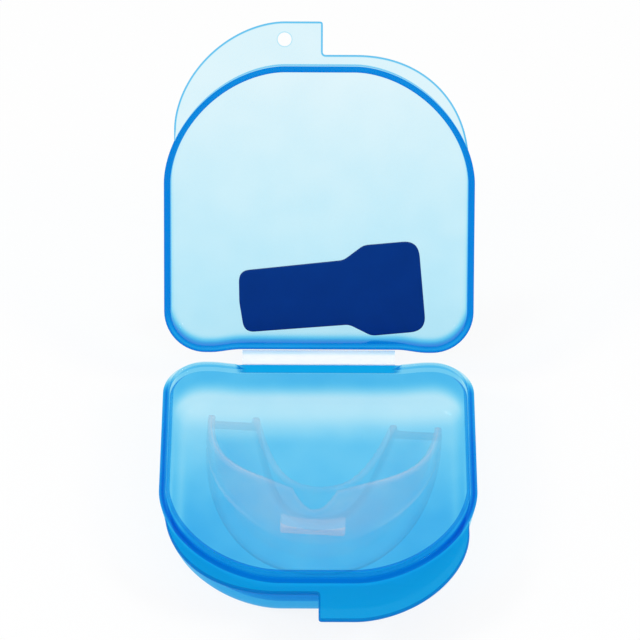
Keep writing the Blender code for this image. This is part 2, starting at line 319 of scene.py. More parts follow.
def blank_tree(owner: bpy.types.Material | bpy.types.World) -> bpy.types.NodeTree:
    """Turn on the nodes of a material or a world and take away those that it starts with.

    Args:
        owner: the material or the world.

    Returns:
        Its empty node tree.
    """
    owner.use_nodes = True
    owner.node_tree.nodes.clear()
    return owner.node_tree


def add_node(tree: bpy.types.NodeTree, kind: str, settings: dict | None = None,
             inputs: dict | None = None) -> bpy.types.Node:
    """Add a node, set it up and link it.

    Args:
        tree: the node tree.
        kind: the node's type name.
        settings: attributes of the node by name.
        inputs: socket by name or number to a value, to an output socket that it is linked from, or to a
            node whose first output it is linked from.

    Returns:
        The new node.
    """
    node = tree.nodes.new(kind)
    for key, value in (settings or {}).items():
        setattr(node, key, value)
    for key, value in (inputs or {}).items():
        socket = node.inputs[key]
        if isinstance(value, bpy.types.Node):
            value = value.outputs[0]
        if isinstance(value, bpy.types.NodeSocket):
            tree.links.new(value, socket)
        else:
            socket.default_value = value
    return node


@dataclass(frozen=True)
class ClearMoulding:
    """A moulded plastic that light passes straight through and that tints it along its way.

    Attributes:
        name: real material and process.
        tint: colour that white light takes in one millimetre of the plastic.
        shine: share of light that the face mirrors, seen straight on and at a grazing angle.
        gloss: roughness of the smooth areas and of the dull ones.
        cloud: colour of the light that the plastic scatters.
        haze: share of light that it scatters all over, where it is clearest and cloudiest.
        flow: size of the slow waves that the melt leaves, in metres.
        grain: size of the mould grain, drawn coarse enough to show, in metres.
        relief: depth of the waves, in metres.
        streak: how much the waves shorten and lengthen the way of light.
        graze: how late the mirrored light rises towards a grazing angle.
        flow_noise: detail and roughness of the waves' noise.
        grain_noise: detail and roughness of the grain's noise.
    """

    name: str
    tint: str
    shine: Point2
    gloss: Point2
    cloud: str
    haze: Point2
    flow: float
    grain: float
    relief: float
    streak: Point2 = (0.95, 1.05)
    graze: float = 5.0
    flow_noise: Point2 = (1.5, 0.4)
    grain_noise: Point2 = (2.0, 0.55)

    def make(self) -> bpy.types.Material:
        """Build the material: a clear, tinted face that scatters by its frost and mirrors at its edges.

        Returns:
            The new material.
        """
        mat = bpy.data.materials.new(self.name)
        tree = blank_tree(mat)
        place = add_node(tree, "ShaderNodeTexCoord").outputs["Object"]
        way, frost = (add_node(tree, "ShaderNodeAttribute", {"attribute_name": label}).outputs["Fac"]
                      for label in ("way", "frost"))
        waves, grain = (add_node(tree, "ShaderNodeTexNoise", {"noise_dimensions": "3D"},
                                 {"Vector": place, "Scale": 1 / size, "Detail": detail, "Roughness": rough})
                        for size, (detail, rough) in ((self.flow, self.flow_noise),
                                                      (self.grain, self.grain_noise)))
        bump = add_node(tree, "ShaderNodeBump", {}, {"Height": waves, "Distance": self.relief})
        rough, haze, streak = (add_node(tree, "ShaderNodeMapRange", {},
                                        {"Value": noise, **NOISE_SPAN, "To Min": low, "To Max": high})
                               for noise, (low, high) in ((grain, self.gloss), (waves, self.haze),
                                                          (waves, self.streak)))
        milk = add_node(tree, "ShaderNodeMath", {"operation": "ADD", "use_clamp": True},
                        {0: haze, 1: frost})
        facing = add_node(tree, "ShaderNodeLayerWeight", {}, {"Blend": 0.5, "Normal": bump})
        graze = add_node(tree, "ShaderNodeMath", {"operation": "POWER"},
                         {0: facing.outputs["Facing"], 1: self.graze})
        shine = add_node(tree, "ShaderNodeMapRange", {},
                         {"Value": graze, "To Min": self.shine[0], "To Max": self.shine[1]})
        depth = add_node(tree, "ShaderNodeMath", {"operation": "MULTIPLY"}, {0: way, 1: streak})
        through = add_node(tree, "ShaderNodeVectorMath", {"operation": "POWER"},
                           {0: linear(self.tint), 1: depth})
        clear = add_node(tree, "ShaderNodeBsdfTransparent", {}, {"Color": through})
        cloud = add_node(tree, "ShaderNodeBsdfDiffuse", {}, {"Color": (*linear(self.cloud), 1.0)})
        mirror = add_node(tree, "ShaderNodeBsdfAnisotropic", {},
                          {"Color": WHITE, "Roughness": rough, "Normal": bump})
        body = add_node(tree, "ShaderNodeMixShader", {}, {0: milk, 1: clear, 2: cloud})
        surface = add_node(tree, "ShaderNodeMixShader", {}, {0: shine, 1: body, 2: mirror})
        add_node(tree, "ShaderNodeOutputMaterial", {}, {"Surface": surface})
        return mat


@dataclass(frozen=True)
class SolidMoulding:
    """An opaque moulded plastic with a fine blasted grain.

    Attributes:
        name: real material and process.
        colour: main colour.
        worn: colour of the slightly rubbed patches.
        shine: level of the mirrored light, 0.5 for a bare polished face.
        gloss: lowest and highest roughness.
        patch: size of the rubbed patches, in metres.
        grain: size of the blasted grain, drawn coarse enough to show, in metres.
        relief: depth of the grain, in metres.
        strength: share of the relief that shows.
        index: refractive index.
        patch_noise: detail and roughness of the patches' noise.
        grain_noise: detail and roughness of the grain's noise.
    """

    name: str
    colour: str
    worn: str
    shine: float
    gloss: Point2
    patch: float
    grain: float
    relief: float
    strength: float = 0.6
    index: float = 1.5
    patch_noise: Point2 = (3.0, 0.5)
    grain_noise: Point2 = (2.0, 0.6)

    def make(self) -> bpy.types.Material:
        """Build the material: two close tones in soft patches, with grain in gloss and relief.

        Returns:
            The new material.
        """
        mat = bpy.data.materials.new(self.name)
        tree = blank_tree(mat)
        place = add_node(tree, "ShaderNodeTexCoord").outputs["Object"]
        patch, grain = (add_node(tree, "ShaderNodeTexNoise", {"noise_dimensions": "3D"},
                                 {"Vector": place, "Scale": 1 / size, "Detail": detail, "Roughness": rough})
                        for size, (detail, rough) in ((self.patch, self.patch_noise),
                                                      (self.grain, self.grain_noise)))
        tone = add_node(tree, "ShaderNodeMix", {"data_type": "RGBA"},
                        {"Factor": patch, "A": (*linear(self.colour), 1.0), "B": (*linear(self.worn), 1.0)})
        rough = add_node(tree, "ShaderNodeMapRange", {},
                         {"Value": grain, **NOISE_SPAN, "To Min": self.gloss[0], "To Max": self.gloss[1]})
        bump = add_node(tree, "ShaderNodeBump", {},
                        {"Height": grain, "Distance": self.relief, "Strength": self.strength})
        surface = add_node(tree, "ShaderNodeBsdfPrincipled", {},
                           {"Base Color": tone.outputs["Result"], "IOR": self.index,
                            "Specular IOR Level": self.shine, "Roughness": rough, "Normal": bump})
        add_node(tree, "ShaderNodeOutputMaterial", {}, {"Surface": surface})
        return mat


# Polypropylene, injection moulded, tinted blue: pale across a panel, deep blue where a rim gathers light
CASE_BLUE = ClearMoulding("polypropylene moulded case", "#DBF5FD", (0.004, 0.25), (0.04, 0.10),
                          "#04A2DE", (0.0, 0.006), 9 * MM, 1.2 * MM, 0.05 * MM)
# Polypropylene film, whitened by bending: almost white, and lets less through
FILM_PALE = ClearMoulding("polypropylene bent film", "#DBF5FD", (0.006, 0.25), (0.10, 0.20),
                          "#FAFDFE", (0.45, 0.60), 9 * MM, 1.2 * MM, 0.05 * MM)
# Ethylene vinyl acetate, moulded: soft and almost colourless, a little cloudy
GUARD_CLEAR = ClearMoulding("ethylene vinyl acetate moulded guard", "#FCFBFC", (0.006, 0.4), (0.06, 0.14),
                            "#FAECEA", (0.0, 0.010), 5 * MM, 0.9 * MM, 0.06 * MM)
# Polypropylene, moulded navy with a satin face: flat and dark, with a soft sheen
HANDLE_NAVY = SolidMoulding("polypropylene moulded navy handle", "#032E76", "#043480", 0.03, (0.40, 0.52),
                            7 * MM, 0.5 * MM, 0.02 * MM)


@dataclass
class CasePlan:
    """Outline of the case walls seen from above, shared by the base, the lid and the film."""

    width: float = 80.66 * MM
    depth: float = 75.0 * MM
    front_flat: float = 18.3 * MM
    front_rise: float = 30.6 * MM
    front_power: float = 1.83
    corner: float = 10.8 * MM
    least_corner: float = 0.4 * MM
    recess: float = 0.8 * MM
    hinge_width: float = 40.6 * MM
    hinge_margin: float = 2.0 * MM
    recess_blend: float = 8.0 * MM
    wall: float = 1.5 * MM
    curve_steps: int = 40
    corner_steps: int = 14
    back_steps: int = 26
    flat_rings: int = 12

    def front_line(self, x: float, inset: float) -> float:
        """Find the front wall line.

        Args:
            x: place along the front.
            inset: how far the outline is moved in.

        Returns:
            The y of the line at x.
        """
        run = self.width / 2 - inset - self.front_flat / 2
        u = min(max((abs(x) - self.front_flat / 2) / run, 0.0), 1.0)
        rise = (self.front_rise - inset) * (1 - (1 - u ** self.front_power) ** (1 / self.front_power))
        return -self.depth / 2 + inset + rise

    def front_half(self, inset: float, steps: int, power: float) -> list[Point2]:
        """Draw the front curve from the end of the flat to the straight side, for positive x.

        Args:
            inset: how far the outline is moved in.
            steps: segments in the curve.
            power: 2 for an ellipse, more for a squarer shoulder.

        Returns:
            The points of the curve.
        """
        run = self.width / 2 - inset - self.front_flat / 2
        rise = self.front_rise - inset
        points = []
        for k in range(steps + 1):
            a = math.pi / 2 * k / steps
            x = self.front_flat / 2 + run * math.sin(a) ** (2 / power)
            y = -self.depth / 2 + inset + rise * (1 - math.cos(a) ** (2 / power))
            points.append((x, y))
        return points

    def recess_at(self, x: float) -> float:
        """Return how far the back wall steps in at x for the film."""
        return self.recess * (1 - smooth_step((abs(x) - self.hinge_width / 2) / self.recess_blend))

    def outline(self, inset: float) -> list[Point2]:
        """Draw the whole outline.

        Args:
            inset: how far it is moved in.

        Returns:
            Its points, anticlockwise from the front middle.
        """
        half = self.front_half(inset, self.curve_steps, self.front_power)
        radius = max(self.corner - inset, self.least_corner)
        side, back = self.width / 2 - inset, self.depth / 2 - inset
        for k in range(self.corner_steps + 1):
            a = math.pi / 2 * k / self.corner_steps
            half.append((side - radius + radius * math.cos(a), back - radius + radius * math.sin(a)))
        last, inner = side - radius, self.hinge_width / 2 - self.hinge_margin
        for k in range(1, self.back_steps + 1):
            half.append((last + (inner - last) * k / self.back_steps, back))
        half = [(x, y - (self.recess_at(x) if y > 0 else 0.0)) for x, y in half]
        return half + [(-x, y) for x, y in reversed(half)]

    def flat(self, inset: float) -> list[list[Point2]]:
        """Draw the rings that carry a flat from near its middle out to an outline.

        Args:
            inset: how far that outline is moved in.

        Returns:
            The rings, from the inside out, without the outline.
        """
        edge = self.outline(inset)
        return [[(x * k / self.flat_rings, y * k / self.flat_rings) for x, y in edge]
                for k in range(1, self.flat_rings)]

    def shell(self, section: list[Point2]) -> list[tuple[Point2, list[Point2]]]:
        """Carry a section of the wall round the case, and on across the flats at its two ends.

        Args:
            section: inset and z of each point of the section.

        Returns:
            A point of the section and a line in plan for each ring, in order.
        """
        first, last = section[0], section[-1]
        lines = [(first, line) for line in self.flat(first[0])]
        lines += [(place, self.outline(place[0])) for place in section]
        return lines + [(last, line) for line in reversed(self.flat(last[0]))]


@dataclass
class Hinge:
    """Hinge line of the film and how far the lid stands open at rest."""

    y: float = 38.9 * MM
    z: float = 15.15 * MM
    open_angle: float = math.radians(127.0)

    def opened(self) -> Matrix:
        """Return the turn that takes a point from the closed lid to the open one."""
        there = Matrix.Translation((0.0, self.y, self.z))
        return there @ Matrix.Rotation(-self.open_angle, 4, "X") @ there.inverted()


@dataclass
class FrontPlate:
    """Narrow flange on one half of the case front and a thumb tab on the other.

    Its skin and edge_skin are way and frost, as a Spot has them.
    """

    plan: CasePlan
    side: Side
    tab_inset: float
    cut: float
    z_low: float
    z_high: float
    flange_reach: float = 2.8 * MM
    flange_inset: float = 1.6 * MM
    flange_power: float = 2.15
    tab_reach: float = 11.4 * MM
    tab_corner: float = 0.8 * MM
    edge: float = 0.35 * MM
    edge_cut: float = 0.3
    edge_line: float = 0.2 * MM
    wall_fade: float = 2.0 * MM
    skin: Point2 = (0.45, 0.0)
    edge_skin: Point2 = (2.6, 0.12)
    curve_steps: int = 60
    corner_steps: int = 5
    halvings: int = 30

    def wall_line(self, x: float) -> float:
        """Return the y at x of the line in the middle of the front wall."""
        return self.plan.front_line(x, self.plan.wall / 2)

    def free_edge(self, inset: float, reach: float, power: float) -> list[Point2]:
        """Draw the free edge of a plate from the front round to the wall, for positive x.

        Args:
            inset: how far the edge's outline is moved in before it is pushed forward.
            reach: how far it stands in front of the wall.
            power: shoulder shape of the edge.

        Returns:
            Points that end in the middle of the wall.
        """
        shift = reach + inset
        curve = [(x, y - shift) for x, y in self.plan.front_half(inset, self.curve_steps, power)]
        curve.append((curve[-1][0], curve[-1][1] + shift))
        points: list[Point2] = []
        for (x0, y0), (x1, y1) in zip(curve, curve[1:]):
            points.append((x0, y0))
            if y1 >= self.wall_line(x1):
                low, high = 0.0, 1.0
                for _ in range(self.halvings):
                    t = (low + high) / 2
                    x, y = x0 + (x1 - x0) * t, y0 + (y1 - y0) * t
                    low, high = (low, t) if y >= self.wall_line(x) else (t, high)
                points.append((x0 + (x1 - x0) * low, y0 + (y1 - y0) * low))
                break
        return points

    def outline(self) -> tuple[list[Point2], int]:
        """Draw the plate seen from above, its free edge first.

        Returns:
            The points, and how many of them lie on the free edge.
        """
        front = -self.plan.depth / 2
        tab = self.free_edge(self.tab_inset, self.tab_reach, self.plan.front_power)
        flange = self.free_edge(self.flange_inset, self.flange_reach, self.flange_power)
        free = [(-x, y) for x, y in reversed(flange)]
        step = [(*free[-1], 0.0), (self.cut, front - self.flange_reach, self.tab_corner),
                (self.cut, front - self.tab_reach, self.tab_corner), (*tab[0], 0.0)]
        free += round_corners(step, False, self.corner_steps)[1:-1] + tab
        right, left = tab[-1][0], -flange[-1][0]
        count = 2 * self.plan.curve_steps
        inner = [right + (left - right) * k / count for k in range(1, count)]
        line = free + [(x, self.wall_line(x)) for x in inner]
        return [(self.side.value * x, y) for x, y in line], len(free)

    def build(self) -> bpy.types.Object:
        """Make the plate with rounded free edges.

        Returns:
            The plate, ready to be joined to its tray.
        """
        plan, free = self.outline()
        cut = self.edge * self.edge_cut
        half = [(self.edge + self.edge_line, 0.0), (self.edge, 0.0), (cut, cut), (0.0, self.edge)]
        profile = [(inset, self.z_low + rise) for inset, rise in half]
        profile += [(inset, self.z_high - rise) for inset, rise in reversed(half)]
        rings = []
        for inset, z in profile:
            skin = self.skin if inset > self.edge else self.edge_skin
            ring = []
            for i, (x, y) in enumerate(plan):
                if 0 < i < free - 1:
                    clear = self.wall_line(x) - y
                    run = Vector(plan[i + 1]) - Vector(plan[i - 1])
                    inward = Vector((-run.y, run.x)).normalized() * self.side.value
                    inward *= inset * smooth_step(clear / self.wall_fade)
                    x, y = x + inward.x, y + inward.y
                ring.append(Spot(x, y, z, *skin))
            rings.append(ring)
        return loft("front_plate", rings)


@dataclass
class Piece:
    """A piece of the object, all of one finish, that stands for one CAD node."""

    finish: bpy.types.Material

    def build(self) -> bpy.types.Object:
        """Return the piece's bare mesh object."""
        raise NotImplementedError

    def dress(self, obj: bpy.types.Object) -> None:
        """Give the piece's mesh object its finish, and let it stand for its CAD part."""
        raise NotImplementedError


@dataclass(frozen=True)
class BaseTint:
    """Ways of light in the base, in millimetres, its frost, and the ramps and places where they change."""

    floor: float = 2.05
    # painted shade: the floor grows darker towards the front
    floor_front_shade: float = 2.2
    floor_side: float = 0.6
    floor_half: float = 30.0 * MM
    floor_fade: float = 1.0 * MM
    outer: float = 2.1
    # painted shade: the outer wall grows darker near the front
    outer_front_shade: float = 2.0
    outer_back: float = 0.9
    inner: float = 4.0
    inner_right: float = 0.5
    inner_half: float = 40.0 * MM
    inner_foot: float = 1.9
    foot: Ramp = Ramp(2.6 * MM, 3.2 * MM)
    # painted light and shade at the back: a short way paints a pale band low on the back fillet, a long one
    # paints shade higher up the back wall
    inner_back_light: float = 1.15
    inner_back_shade: float = 4.9
    tall: Ramp = Ramp(5.0 * MM, 6.0 * MM)
    ledge: float = 8.0
    ledge_line: float = 11.0
    line_inset: float = 1.0 * MM
    line_fade: float = 0.8 * MM
    root: float = 1.2
    root_back: float = 2.8
    root_fade: float = 0.6 * MM
    lip: float = 2.0
    lip_front: float = 1.5
    edge_fade: float = 0.4 * MM
    land: float = 10.0
    ledge_frost: float = 0.05
    land_frost: float = 0.85
    front_frost: float = 0.3
    ahead: Ramp = Ramp(0.45, 0.25)
    fore: Ramp = Ramp(0.72, 0.2)
    back: Ramp = Ramp(24.0 * MM, 9.0 * MM)
    # where the painted pale band of light runs from the back fillet onto the back of the floor
    glow: Ramp = Ramp(21.5 * MM, 4.0 * MM)


@dataclass
class BaseTray(Piece):
    """Lower half of the case: floor, drafted wall, lip, flange and thumb tab."""

    plan: CasePlan
    tint: BaseTint = BaseTint()
    height: float = 15.0 * MM
    floor: float = 1.5 * MM
    draft: float = 2.4 * MM
    outer_radius: float = 7.5 * MM
    inner_radius: float = 5.8 * MM
    rim_round: float = 0.25 * MM
    seat_round: float = 0.15 * MM
    lip_height: float = 2.2 * MM
    lip_wall: float = 1.0 * MM
    lip_round: float = 0.3 * MM
    lip_root: float = 1.6 * MM
    lip_foot: float = 0.4 * MM
    foot_round: float = 0.4 * MM
    root_round: float = 0.6 * MM
    lip_clearance: float = 0.3 * MM
    lip_fade: float = 3.0 * MM
    under_margin: float = 3.0 * MM
    floor_margin: float = 4.0 * MM
    plate: float = 1.2 * MM
    plate_skin: Point2 = (4.0, 0.68)
    plate_edge_skin: Point2 = (12.0, 0.4)
    tab_inset: float = 2.4 * MM
    tab_cut: float = 0.2 * MM
    shy: float = 0.03 * MM
    step: float = 0.7 * MM
    arc_steps: int = 8

    def drafted(self, z: float) -> float:
        """Return how far the outer wall has drawn in at height z."""
        return self.draft * (1 - z / self.height)

    def profile(self) -> list[Point2]:
        """Draw the section through the wall.

        Returns:
            Inset and z of each point, from the underside round to the floor.
        """
        seat = self.plan.wall + self.lip_clearance
        inner, top = seat + self.lip_wall, self.height + self.lip_height
        root = self.height - self.lip_root
        flat = self.drafted(0.0) + self.outer_radius
        corners = [(flat + self.under_margin, 0.0, 0.0), (self.drafted(0.0), 0.0, self.outer_radius),
                   (0.0, self.height, self.rim_round), (seat, self.height, self.seat_round),
                   (seat, top, self.lip_round), (inner, top, self.lip_round),
                   (inner, self.height - self.lip_foot, self.foot_round),
                   (self.plan.wall + self.drafted(root), root, self.root_round),
                   (self.plan.wall + self.drafted(self.floor), self.floor, self.inner_radius),
                   (flat + self.floor_margin, self.floor, 0.0)]
        return dense(round_corners(corners, False, self.arc_steps), self.step)

    def lip_share(self, x: float, y: float) -> float:
        """Find how much of the lip stands at a point of the rim: none of it along the film.

        Args:
            x: place of the point.
            y: place of the point.

        Returns:
            The share, from 0 to 1.
        """
        if y < 0:
            return 1.0
        return smooth_step((abs(x) - self.plan.hinge_width / 2 + self.lip_fade / 2) / self.lip_fade)

    def skin(self, x: float, y: float, inset: float, z: float, outer: bool) -> Point2:
        """Find what light meets in the tray's skin at a point.

        Args:
            x: place of the point.
            y: place of the point.
            inset: how far it lies inside the case outline.
            z: height before the lip is lowered along the film.
            outer: True on the outer face, up to the top of the lip.

        Returns:
            Way in millimetres and frost.
        """
        tint = self.tint
        front = 0.5 - y / self.plan.depth
        ahead, fore, back = tint.ahead.at(front), tint.fore.at(front), tint.back.at(y)
        land = back * (1 - self.lip_share(x, y))
        # glow carries the back wall's way onto the back of the floor, where it paints a pale band of light
        rise = max(Ramp(self.floor, tint.floor_fade).at(z), tint.glow.at(y))
        ledge = Ramp(self.height - tint.edge_fade, tint.edge_fade).at(z)
        lip = Ramp(self.height + self.lip_height - tint.edge_fade, tint.edge_fade).at(z)
        # floor_front_shade paints shade: the floor grows darker towards the front
        flat = tint.floor + tint.floor_front_shade * front + tint.floor_side * (x / tint.floor_half) ** 2
        if outer:
            # outer_front_shade paints shade on the outer wall near the front
            side, behind = tint.outer + tint.outer_front_shade * fore, tint.outer_back
        else:
            foot = tint.inner_foot * tint.foot.at(inset)
            side = tint.inner + tint.inner_right * x / tint.inner_half - foot
            # At the back, inner_back_light paints a pale band of light low on the wall and inner_back_shade
            # paints shade higher up
            behind = tint.inner_back_light + tint.inner_back_shade * tint.tall.at(z)
        way = flat + (side + (behind - side) * back - flat) * rise
        if outer:
            line = 1 - smooth_step(abs(inset - tint.line_inset) / tint.line_fade)
            below = Ramp(self.height + tint.edge_fade, -tint.edge_fade).at(z)
            way += (tint.ledge + tint.ledge_line * line) * (1 - back) * ledge * below
        else:
            root = Ramp(self.height - self.lip_root, tint.root_fade).at(z)
            way += (tint.root + tint.root_back * back * (1 - lip) - way) * root
        way += lip * (tint.lip + tint.lip_front * ahead) * (1 - back)
        way += (tint.land - way) * land * ledge
        frost = (tint.ledge_frost * (1 - back) + tint.land_frost * land) * ledge
        return way, frost + tint.front_frost * fore * rise * outer

    def build(self) -> bpy.types.Object:
        """Make the tray and join its front plate to it.

        Returns:
            The bare base tray.
        """
        section = self.profile()
        peak = max(z for _, z in section)
        rings = []
        outer = True
        for (inset, z), line in self.plan.shell(section):
            outer = outer and z < peak
            ring = []
            for x, y in line:
                over = max(z - self.height, 0.0) * self.lip_share(x, y)
                ring.append(Spot(x, y, min(z, self.height) + over, *self.skin(x, y, inset, z, outer)))
            rings.append(ring)
        tray = loft("base_tray", rings)
        plate = FrontPlate(self.plan, Side.RIGHT, self.tab_inset, self.tab_cut, self.height - self.plate,
                           self.height - self.shy, skin=self.plate_skin, edge_skin=self.plate_edge_skin)
        combine(tray, plate.build(), Join.UNION)
        return tray

    def dress(self, tray: bpy.types.Object) -> None:
        """Give the tray its finish, and let it stand for the CAD base.

        Args:
            tray: the bare base tray.
        """
        coat(tray, self.finish)
        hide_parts("case_base")
        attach(tray, Body.BASE.value)


@dataclass(frozen=True)
class LidTint:
    """Ways of light in the lid, in millimetres, its frost, and the ramps and places where they change."""

    panel: float = 0.75
    # painted shade: the panel grows darker towards the hinge
    panel_hinge_shade: float = 0.7
    outer: float = 0.3
    outer_rim: float = 8.0
    outer_power: float = 2.5
    inner_rim: float = 5.5
    inner_hinge: float = 6.0
    inner_power: float = 1.5
    inner_fade: float = 0.5 * MM
    hinge_wall: float = 2.2
    hinge_fade: float = 0.15
    crown: float = 3.0
    crown_rise: Ramp = Ramp(0.32, -0.4)
    crown_inset: Ramp = Ramp(1.6 * MM, -1.0 * MM)
    rim: float = 18.0
    rim_hinge: float = 10.0
    rim_fade: float = 0.5 * MM
    rim_frost: float = 0.3
    hinged: Ramp = Ramp(25.0 * MM, 8.0 * MM)


@dataclass
class LidTray(Piece):
    """Upper half of the case, built closed and then turned open about the hinge line."""

    plan: CasePlan
    hinge: Hinge
    tint: LidTint = LidTint()
    rim: float = 15.3 * MM
    height: float = 11.4 * MM
    panel: float = 1.5 * MM
    draft: float = 0.4 * MM
    outer_radius: float = 3.6 * MM
    inner_radius: float = 2.2 * MM
    rim_wall: float = 1.7 * MM
    rim_round: float = 0.25 * MM
    flat_margin: float = 6.0 * MM
    plate: float = 1.2 * MM
    tab_inset: float = 2.7 * MM
    tab_cut: float = -0.75 * MM
    hole: float = 3.6 * MM
    hole_side: float = 9.1 * MM
    hole_reach: float = 6.8 * MM
    hole_flare: float = 0.25 * MM
    hole_way: float = 1.0
    hole_points: int = 48
    shy: float = 0.03 * MM
    step: float = 0.7 * MM
    arc_steps: int = 8

    def profile(self) -> list[Point2]:
        """Draw the section through the wall.

        Returns:
            Inset and z of each point, from the top of the panel round to its underside.
        """
        top, under = self.rim + self.height, self.rim + self.height - self.panel
        flat = self.outer_radius + self.flat_margin
        corners = [(flat, top, 0.0), (self.draft, top, self.outer_radius), (0.0, self.rim, self.rim_round),
                   (self.rim_wall, self.rim, self.rim_round),
                   (self.plan.wall + self.draft, under, self.inner_radius), (flat, under, 0.0)]
        return dense(round_corners(corners, False, self.arc_steps), self.step)

    def skin(self, y: float, z: float, inset: float) -> Point2:
        """Find what light meets in the lid's skin at a point.

        Args:
            y: place of the point, lid closed.
            z: height of the point, lid closed.
            inset: how far it lies inside the case outline.

        Returns:
            Way in millimetres and frost.
        """
        tint = self.tint
        near = max(1 - (z - self.rim) / (self.height - self.panel), 0.0)
        hinged = tint.hinged.at(y)
        inside = Ramp(self.rim_wall / 2, tint.inner_fade).at(inset)
        outer = tint.outer + tint.outer_rim * near ** tint.outer_power
        inner = (tint.inner_rim + tint.inner_hinge * hinged) * near ** tint.inner_power
        inner += hinged * (tint.hinge_wall + near) * smooth_step(near / tint.hinge_fade)
        # panel_hinge_shade paints shade: the panel grows darker towards the hinge
        way = tint.panel + tint.panel_hinge_shade * y / self.plan.depth + outer * (1 - inside) + inner * inside
        way += tint.crown * tint.crown_rise.at(near) * tint.crown_inset.at(inset)
        edge = Ramp(self.rim + tint.rim_fade, -tint.rim_fade).at(z)
        middle = 1 - abs(2 * inset / self.rim_wall - 1)
        rim = tint.rim - tint.rim_hinge * hinged * smooth_step(middle)
        return way + (rim - way) * edge, tint.rim_frost * edge

    def hole_cutter(self) -> bpy.types.Object:
        """Make the body that cuts the hang hole.

        Returns:
            A round body with flared ends.
        """
        x, y = -self.hole_side, -self.plan.depth / 2 - self.hole_reach
        flare, low, high = self.hole_flare, self.rim, self.rim + self.plate
        rings = []
        for wider, z in ((2 * flare, low - flare), (0.0, low + flare), (0.0, high - flare),
                         (2 * flare, high + flare)):
            radius = self.hole / 2 + wider
            turns = [math.tau * k / self.hole_points for k in range(self.hole_points)]
            rings.append([Spot(x + radius * math.cos(a), y + radius * math.sin(a), z, self.hole_way)
                          for a in turns])
        return loft("hang_hole", rings)

    def build(self) -> bpy.types.Object:
        """Make the lid, join its front plate, cut the hang hole and turn it open.

        Returns:
            The bare lid.
        """
        lid = loft("lid_tray", [[Spot(x, y, z, *self.skin(y, z, inset)) for x, y in line]
                                for (inset, z), line in self.plan.shell(self.profile())])
        plate = FrontPlate(self.plan, Side.LEFT, self.tab_inset, self.tab_cut, self.rim + self.shy,
                           self.rim + self.plate)
        combine(lid, plate.build(), Join.UNION)
        combine(lid, self.hole_cutter(), Join.CUT)
        lid.data.transform(self.hinge.opened())
        return lid

    def dress(self, lid: bpy.types.Object) -> None:
        """Give the lid its finish, and let it stand for the CAD lid.

        Args:
            lid: the bare lid.
        """
        coat(lid, self.finish)
        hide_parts("case_lid")
        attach(lid, Body.LID.value)


@dataclass
class HingeFilm(Piece):
    """Thin strip that bends from the base to the lid below the hinge line."""

    plan: CasePlan
    hinge: Hinge
    offset: float = 1.4 * MM
    drop: float = 0.5 * MM
    gap: float = 0.3 * MM
    side_inset: float = 0.4 * MM
    thickness: float = 0.4 * MM
    root_from: float = 0.7
    root_way: float = 5.0
    segments: int = 24

    def arc(self) -> tuple[float, float, Vector]:
        """Find the arc that the middle of the film follows.

        Returns:
            Its bend in radians, its radius, and where it starts at the base.
        """
        bend = math.pi - self.hinge.open_angle
        slope = math.tan(bend / 2)
        length = self.offset + self.plan.recess - self.gap + self.drop * slope
        start = Vector((0.0, self.hinge.y + self.drop * slope - length, self.hinge.z - self.drop))
        return bend, length / slope, start

    def tree(self) -> bpy.types.NodeTree:
        """Build the node tree that sweeps a flat strip along an arc.

        Returns:
            A geometry node tree with inputs Radius, Bend, Width and Thickness.
        """
        tree = bpy.data.node_groups.new("film_sweep", "GeometryNodeTree")
        for name in ("Radius", "Bend", "Width", "Thickness"):
            tree.interface.new_socket(name, in_out="INPUT", socket_type="NodeSocketFloat")
        tree.interface.new_socket("Geometry", in_out="OUTPUT", socket_type="NodeSocketGeometry")
        sizes = add_node(tree, "NodeGroupInput").outputs
        path = add_node(tree, "GeometryNodeCurveArc", {"mode": "RADIUS"},
                        {"Resolution": self.segments + 1, "Radius": sizes["Radius"],
                         "Start Angle": 0.0, "Sweep Angle": sizes["Bend"]})
        along = add_node(tree, "GeometryNodeSplineParameter")
        root = add_node(tree, "ShaderNodeMapRange", {},
                        {"Value": along, "From Min": self.root_from, "To Max": self.root_way})
        path = add_node(tree, "GeometryNodeStoreNamedAttribute", {"data_type": "FLOAT", "domain": "POINT"},
                        {"Geometry": path, "Name": "way", "Value": root})
        strip = add_node(tree, "GeometryNodeCurvePrimitiveQuadrilateral", {"mode": "RECTANGLE"},
                         {"Width": sizes["Thickness"], "Height": sizes["Width"]})
        sweep = add_node(tree, "GeometryNodeCurveToMesh", {},
                         {"Curve": path, "Profile Curve": strip, "Fill Caps": True})
        real = add_node(tree, "GeometryNodeRealizeInstances", {}, {"Geometry": sweep})
        skin = add_node(tree, "GeometryNodeSetMaterial", {}, {"Geometry": real, "Material": self.finish})
        add_node(tree, "NodeGroupOutput", {}, {"Geometry": skin})
        return tree

    def build(self) -> bpy.types.Object:
        """Sweep the film and put it in its place.

        Returns:
            The bare film.
        """
        bend, radius, start = self.arc()
        sizes = {"Radius": radius, "Bend": bend, "Width": self.plan.hinge_width - 2 * self.side_inset,
                 "Thickness": self.thickness}
        film = add_object("hinge_strip", bpy.data.meshes.new("hinge_strip"))
        mod = film.modifiers.new("sweep", "NODES")
        tree = self.tree()
        mod.node_group = tree
        for item in tree.interface.items_tree:
            if item.in_out == "INPUT":
                mod[item.identifier] = sizes[item.name]
        settle(film)
        # The sweep lies in the XY plane: its width turns to X and its radius to Z
        turn = Matrix(((0, 0, 1, 0), (0, 1, 0, 0), (-1, 0, 0, 0), (0, 0, 0, 1)))
        film.data.transform(Matrix.Translation(start + Vector((0.0, 0.0, radius))) @ turn)
        bm = bmesh.new()
        bm.from_mesh(film.data)
        bmesh.ops.remove_doubles(bm, verts=bm.verts, dist=WELD)
        bmesh.ops.recalc_face_normals(bm, faces=bm.faces)
        bm.to_mesh(film.data)
        bm.free()
        return film

    def dress(self, film: bpy.types.Object) -> None:
        """Give the film its finish, and let it stand for the CAD film.

        Args:
            film: the bare film.
        """
        coat(film, self.finish)
        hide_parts("hinge_film")
        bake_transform(film)


